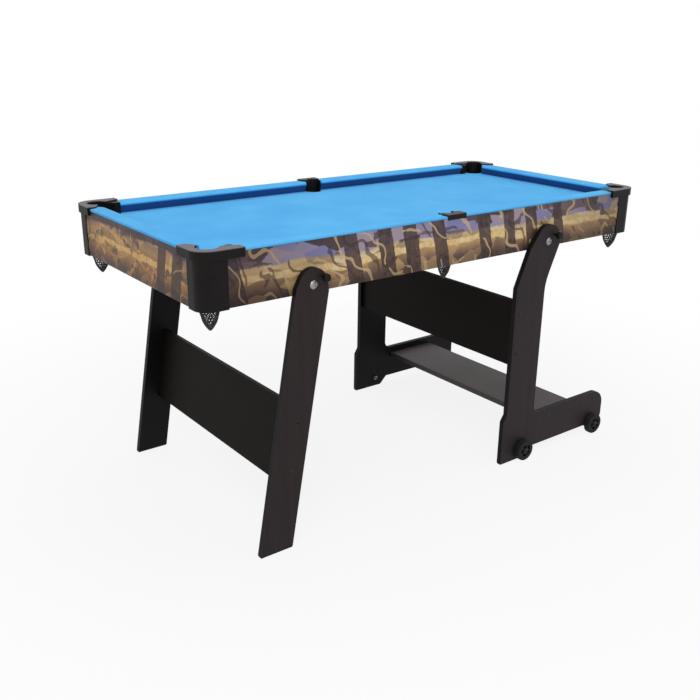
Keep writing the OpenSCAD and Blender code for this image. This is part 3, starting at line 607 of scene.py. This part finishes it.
# Section of a covered cushion: distance from the apron face and height over the rail top
CUSHION = [
    (0.0002, -0.0060), (0.0002, -0.0022), (0.0009, -0.0006), (0.0024, 0.0), (0.012, 0.0002),
    (0.024, 0.0003), (0.035, 0.0), (0.0410, -0.0006), (0.0448, -0.0020), (0.0470, -0.0042),
    (0.0478, -0.0066), (0.0472, -0.0090), (0.0448, -0.0136), (0.0410, -0.0212),
    (0.0374, -0.0285), (0.0371, -0.0298), (0.0150, -0.0298), (0.0150, -0.0060),
]
RAIL_STEPS = 24


def long_limits(inward):
    """Ends of a long rail at this distance from the apron face, from the table's end."""
    jaw = (inward - MIDDLE_IN) * math.tan(math.radians(MIDDLE_JAW_ANGLE))
    end = HALF_L - MIDDLE_R - MIDDLE_JAW_GAP - jaw
    return CHEEK_L + FACE_CLEAR, end - JAW_CLEAR


def end_limits(inward):
    """Ends of an end rail at this distance from the apron face, from the near side."""
    start = max(END_START, inward + CORNER_JAW)
    return start, 2 * HALF_W - start


def rail_mesh(limits, place):
    """A rail swept between its jaws; place turns (along, inward, height) into a point."""
    build = bmesh.new()
    rows = []
    for i in range(RAIL_STEPS + 1):
        t = i / RAIL_STEPS
        ring = []
        for inward, height in CUSHION:
            start, end = limits(inward)
            ring.append(build.verts.new(place(start + (end - start) * t, inward, RAIL_Z + height)))
        rows.append(ring)
    n = len(CUSHION)
    for a, b in zip(rows, rows[1:]):
        for j in range(n):
            build.faces.new((a[j], a[(j + 1) % n], b[(j + 1) % n], b[j]))
    build.faces.new(rows[0])
    build.faces.new(rows[-1][::-1])
    bmesh.ops.recalc_face_normals(build, faces=build.faces)
    return build


def make_cushion(node, limits, place):
    """One cushion covered in cloth."""
    piece = new_object(node + "_covered", rail_mesh(limits, place), CUSHION_CLOTH)
    ease_edges(piece, CUSHION_EDGE, 3, CUSHION_SHARP)
    declare(piece, node)


def make_cushions():
    """Two cushions on each long side and one at each end."""
    ends = (("left", -1), ("right", 1))
    for side, sign in (("near", -1), ("far", 1)):
        for end, mirror in ends:

            def place(along, inward, height, sign=sign, mirror=mirror):
                return (mirror * (HALF_L - along), sign * (HALF_W - inward), height)

            make_cushion(f"cushion_{side}_{end}", long_limits, place)
    for end, mirror in ends:

        def place(along, inward, height, mirror=mirror):
            return (mirror * (HALF_L - inward), -HALF_W + along, height)

        make_cushion(f"cushion_{end}_end", end_limits, place)


def make_bed_cloth():
    """The bed cloth, stretched over the bed board and cut out at the pockets."""
    piece = new_object("bed_cloth_stretched", merged("bed_cloth"), BED_CLOTH)
    ease_edges(piece, CLOTH_EDGE)
    declare(piece, "bed_cloth")


class Group(Nodes):
    """A geometry nodes tree with named inputs."""

    def __init__(self, name, inputs):
        super().__init__(bpy.data.node_groups.new(name, "GeometryNodeTree"))
        self.tree.is_modifier = True
        face = self.tree.interface
        face.new_socket("Geometry", in_out="INPUT", socket_type="NodeSocketGeometry")
        face.new_socket("Geometry", in_out="OUTPUT", socket_type="NodeSocketGeometry")
        for label, kind in inputs.items():
            face.new_socket(label, in_out="INPUT", socket_type=kind)

    def given(self, name):
        """One of the tree's inputs."""
        return self.node("NodeGroupInput", {}, {}, name)

    def finished(self, copies, finish):
        """Ends the tree: the copies made real, in the material of this input."""
        real = self.node("GeometryNodeRealizeInstances", {}, {"Geometry": copies})
        values = {"Geometry": real, "Material": self.given(finish)}
        dressed = self.node("GeometryNodeSetMaterial", {}, values)
        self.node("NodeGroupOutput", {}, {"Geometry": dressed})
        return self.tree


def net_tree():
    """Geometry nodes that repeat one net strand round its axis in both directions."""
    inputs = {
        "Strands": "NodeSocketInt",
        "Cord Radius": "NodeSocketFloat",
        "Cord": "NodeSocketMaterial",
    }
    g = Group("net_strands", inputs)
    strands = g.given("Strands")
    line = g.node("GeometryNodeMeshToCurve", {}, {"Mesh": g.given("Geometry")})
    values = {"Resolution": 6, "Radius": g.given("Cord Radius")}
    section = g.node("GeometryNodeCurvePrimitiveCircle", {}, values)
    values = {"Curve": line, "Profile Curve": section, "Fill Caps": True}
    cord = g.node("GeometryNodeCurveToMesh", {}, values)
    values = {"Geometry": cord, "Scale": (1.0, -1.0, 1.0)}
    mirrored = g.node("GeometryNodeTransform", {}, values)
    outward = g.node("GeometryNodeFlipFaces", {}, {"Mesh": mirrored})
    pair = g.node("GeometryNodeJoinGeometry", {}, {"Geometry": [cord, outward]})
    points = g.node("GeometryNodePoints", {}, {"Count": strands})
    angle = g.node("GeometryNodeInputIndex", {}, {}) / strands * (2 * math.pi)
    turn = g.node("ShaderNodeCombineXYZ", {}, {"Z": angle})
    values = {"Points": points, "Instance": pair, "Rotation": turn}
    return g.finished(g.node("GeometryNodeInstanceOnPoints", {}, values), "Cord")


def socket_tree():
    """Geometry nodes that put one hexagonal cutter, lying along Y, on every point."""
    inputs = {
        "Radius": "NodeSocketFloat",
        "Depth": "NodeSocketFloat",
        "Finish": "NodeSocketMaterial",
    }
    g = Group("head_sockets", inputs)
    values = {"Vertices": 6, "Radius": g.given("Radius"), "Depth": g.given("Depth")}
    hexagon = g.node("GeometryNodeMeshCylinder", {}, values)
    values = {"Geometry": hexagon, "Rotation": (math.pi / 2, 0, 0)}
    laid = g.node("GeometryNodeTransform", {}, values)
    values = {"Points": g.given("Geometry"), "Instance": laid}
    return g.finished(g.node("GeometryNodeInstanceOnPoints", {}, values), "Finish")


def run_tree(piece, tree, inputs):
    """Runs a geometry nodes tree on a piece, and keeps what it makes as plain mesh."""
    modifier = piece.modifiers.new(tree.name, "NODES")
    modifier.node_group = tree
    for item in tree.interface.items_tree:
        if item.item_type == "SOCKET" and item.in_out == "INPUT" and item.name in inputs:
            modifier[item.identifier] = inputs[item.name]
    apply_modifiers(piece)


NET_TREE, SOCKET_TREE = net_tree(), socket_tree()


def net_radius(t):
    """Radius of a net, as a share of its mouth, at this share of its depth."""
    return (1 - 0.1 * t) * (1 - t**5) ** 0.85


def circle(count):
    """Cosine and sine of evenly spaced turns."""
    turns = (2 * math.pi * i / count for i in range(count))
    return [(math.cos(turn), math.sin(turn)) for turn in turns]


def add_hem(build, centre, radius, around=48, section=8):
    """Round hem cord at a net's mouth."""
    rings = []
    for x, y in circle(around):
        outward = Vector((x, y, 0))
        ring = []
        for out, up in circle(section):
            spot = centre + outward * (radius + NET_HEM * out) + Vector((0, 0, NET_HEM * up))
            ring.append(build.verts.new(spot))
        rings.append(ring)
    faces = []
    for a, b in zip(rings, rings[1:] + rings[:1]):
        for j in range(section):
            k = (j + 1) % section
            faces.append(build.faces.new((a[j], b[j], b[k], a[k])))
    bmesh.ops.recalc_face_normals(build, faces=faces)


def add_knot(build, centre):
    """Wound knot that ties a net's tip."""
    made = bmesh.ops.create_uvsphere(build, u_segments=16, v_segments=12, radius=1.0)
    for vert in made["verts"]:
        x, y, z = vert.co
        wound = 1 + KNOT_WOUND * math.sin(z * KNOT_TURN)
        vert.co = centre + Vector((x * KNOT_R * wound, y * KNOT_R * wound, z * KNOT_H))


def strand_line(mouth, depth):
    """Line of one cord, which winds from a net's mouth to its tip with a slight sway."""
    line = bmesh.new()
    last = None
    for i in range(STRAND_STEPS + 1):
        t = i / STRAND_STEPS
        angle = 2 * math.pi * STRAND_TURNS * t
        radius = max(mouth * net_radius(t * STRAND_END), NET_TIP)
        sway = 1 + SWAY * math.sin(t * math.pi * HALF_WAVES)
        x, y = radius * sway * math.cos(angle), radius * sway * math.sin(angle)
        spot = line.verts.new((x, y, -depth * t))
        if last:
            line.edges.new((last, spot))
        last = spot
    return line


def make_net(node):
    """A knotted bag: strands that cross as diamonds from the throat to the tied tip."""
    low, high = (Vector(v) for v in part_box(node))
    centre = (low + high) / 2
    mouth = (high.x - low.x) / 2 - NET_CORD
    depth = high.z - low.z - 2 * NET_CORD
    piece = new_object(node + "_knotted", strand_line(mouth, depth))
    run_tree(piece, NET_TREE, {"Strands": STRANDS, "Cord Radius": NET_CORD, "Cord": CORD})
    piece.data.transform(Matrix.Translation((centre.x, centre.y, high.z - NET_CORD)))
    bag = bmesh.new()
    bag.from_mesh(piece.data)
    add_hem(bag, Vector((centre.x, centre.y, high.z - NET_HEM)), mouth + NET_CORD - NET_HEM)
    add_knot(bag, Vector((centre.x, centre.y, low.z + KNOT_H)))
    bag.to_mesh(piece.data)
    bag.free()
    shade_smooth(piece)
    declare(piece, node)


def islands(build):
    """The corners of each separate bolt or screw."""
    seen = set()
    for start in build.verts:
        if start in seen:
            continue
        island, queue = [], [start]
        seen.add(start)
        while queue:
            vert = queue.pop()
            island.append(vert.co)
            for edge in vert.link_edges:
                other = edge.other_vert(vert)
                if other not in seen:
                    seen.add(other)
                    queue.append(other)
        yield island


def head_marks(build):
    """A point on the outer end of each separate bolt or screw, which all lie along Y."""
    marks = bmesh.new()
    for island in islands(build):
        low = [min(co[i] for co in island) for i in range(3)]
        high = [max(co[i] for co in island) for i in range(3)]
        outer = low[Y] if abs(low[Y]) > abs(high[Y]) else high[Y]
        marks.verts.new(((low[X] + high[X]) / 2, outer, (low[Z] + high[Z]) / 2))
    return marks


def socketed(node, finish, across, depth):
    """The CAD node's bolts or screws with a hexagonal socket in each head."""
    build = merged(node)
    cutter = new_object(node + "_cutter", head_marks(build))
    sizes = {"Radius": across / math.sqrt(3), "Depth": 2 * depth, "Finish": finish}
    run_tree(cutter, SOCKET_TREE, sizes)
    piece = new_object(node + "_socketed", build, finish)
    cut = piece.modifiers.new("cut", "BOOLEAN")
    cut.operation, cut.solver, cut.object = "DIFFERENCE", "EXACT", cutter
    apply_modifiers(piece)
    bpy.data.objects.remove(cutter)
    ease_edges(piece, HEAD_EDGE, 1)
    declare(piece, node)


# CAD nodes that stay, by their finish
KEPT_NODES = (
    (FIBREBOARD, ("bed_board",)),
    (WOOD_LONG, ("cushion_strips", "bed_battens", "pivot_blocks")),
    (WOOD_ACROSS, ("cross_rails",)),
    (MOULDING, ("pivot_spacers", "end_leg_bushes", "base_bushes")),
    (RUBBER, ("end_leg_pads", "base_pads")),
    (STEEL, ("pivot_nuts", "bed_screws", "cap_screws", "axle_nuts")),
)


def dress_frame():
    """Boards, mouldings, wheels and metal: eased, socketed, or kept with a finish."""
    for side in ("near", "far"):
        eased(f"side_apron_{side}", PRINT_EDGE, PRINT_SIDE)
        eased(f"end_leg_{side}", BOARD_EDGE, BOARD_UP)
        eased(f"base_side_{side}", BOARD_EDGE, BOARD_UP)
        eased(f"middle_pocket_{side}", PLATE_EDGE, MIDDLE_MOULDING, 3)
        for end in ("left", "right"):
            eased(f"corner_cap_{side}_{end}", CAP_EDGE, MOULDING, 3)
        for name in ("end", "base"):
            eased(f"{name}_lock_pin_{side}", PIN_EDGE, MOULDING, 3)
        for wheel in ("heel", "end"):
            eased(f"{wheel}_wheel_{side}", WHEEL_EDGE, WHEEL_PLASTIC)
            finish_node(f"{wheel}_tyre_{side}", RUBBER)
    for end in ("left", "right"):
        eased(f"end_apron_{end}", PRINT_EDGE, PRINT_END)
    for node in ("end_stretcher", "base_stretcher"):
        eased(node, BOARD_EDGE, BOARD_ACROSS)
    eased("base_shelf", BOARD_EDGE, BOARD_SHELF)
    for finish, nodes in KEPT_NODES:
        for node in nodes:
            finish_node(node, finish)
    socketed("pivot_bolts", STEEL, across=0.006, depth=0.0032)
    socketed("wheel_axles", DARK_STEEL, across=0.005, depth=0.0026)
    for node in ("end_leg_screws", "base_screws"):
        socketed(node, DARK_STEEL, across=0.004, depth=0.0022)


make_cushions()
make_bed_cloth()
for name in [n for n in frame["nodes"] if n.startswith("net_")]:
    make_net(name)
dress_frame()


def make_floor():
    """Pale floor that shows white to the camera and keeps the table's shadow."""
    f = Finish("studio_floor")
    f.surface(Base_Color=FLOOR_GREY, Roughness=0.9)
    glow = f.node("ShaderNodeEmission", {}, {})
    away = f.node("ShaderNodeVectorMath", {"operation": "LENGTH"}, {0: f.place}, "Value")
    share = f.rays("Camera", "Glossy") * away.between(FADE_FROM, FADE_TO, NEAR_SHARE, 1.0)
    plain = Value(f, f.shader.outputs[0])
    shown = f.node("ShaderNodeMixShader", {}, {0: share, 1: plain, 2: glow})
    f.feed(f.tree.nodes["Material Output"].inputs["Surface"], shown)
    build = bmesh.new()
    bmesh.ops.create_grid(build, x_segments=1, y_segments=1, size=FLOOR_HALF)
    floor = new_object("floor", build, f.material)


def make_world():
    """Plain soft light, and white to the camera, in gloss and through clear surfaces."""
    world = bpy.data.worlds.new("studio")
    bpy.context.scene.world = world
    world.use_nodes = True
    world.node_tree.nodes.clear()
    w = Nodes(world.node_tree)
    soft = w.node("ShaderNodeBackground", {}, {"Color": SOFT_LIGHT, "Strength": SOFT_STRENGTH})
    white = w.node("ShaderNodeBackground", {}, {"Color": (1.0, 1.0, 1.0, 1), "Strength": 1.0})
    seen = w.rays("Camera", "Glossy", "Transmission")
    mixed = w.node("ShaderNodeMixShader", {}, {0: seen, 1: soft, 2: white})
    w.node("ShaderNodeOutputWorld", {}, {"Surface": mixed})


def make_lamp(name, spot, target, size, power):
    """A square lamp, turned to its target."""
    lamp = bpy.data.lights.new(name, "AREA")
    lamp.shape = "SQUARE"
    lamp.size = size
    lamp.energy = power
    thing = bpy.data.objects.new(name, lamp)
    bpy.context.collection.objects.link(thing)
    thing.location = spot
    thing.rotation_euler = (Vector(target) - Vector(spot)).to_track_quat("-Z", "Y").to_euler()


def make_camera():
    """Camera at the photograph's place."""
    level = math.cos(PITCH)
    forward = Vector((-math.sin(YAW) * level, math.cos(YAW) * level, -math.sin(PITCH)))
    side = forward.cross(Vector((0, 0, 1))).normalized()
    top = side.cross(forward)
    right = math.cos(ROLL) * side + math.sin(ROLL) * top
    up = -math.sin(ROLL) * side + math.cos(ROLL) * top
    data = bpy.data.cameras.new("camera")
    data.sensor_width = SENSOR_MM
    data.lens = FOCAL_PIXELS * SENSOR_MM / FRAME_PIXELS
    camera = bpy.data.objects.new("camera", data)
    bpy.context.collection.objects.link(camera)
    matrix = Matrix((right, up, -forward)).transposed().to_4x4()
    matrix.translation = CAMERA_AT
    camera.matrix_world = matrix
    bpy.context.scene.camera = camera


make_floor()
make_world()
make_lamp("key", (-2.2, -2.6, 3.4), (0, 0, 0.6), size=2.6, power=72)
make_lamp("fill", (3.2, -2.2, 2.6), (0, 0, 0.5), size=3.0, power=18)
make_lamp("top", (0.2, 0.4, 3.6), (0, 0, 0.7), size=3.2, power=38)
make_camera()
bpy.context.scene.view_settings.view_transform = "Standard"
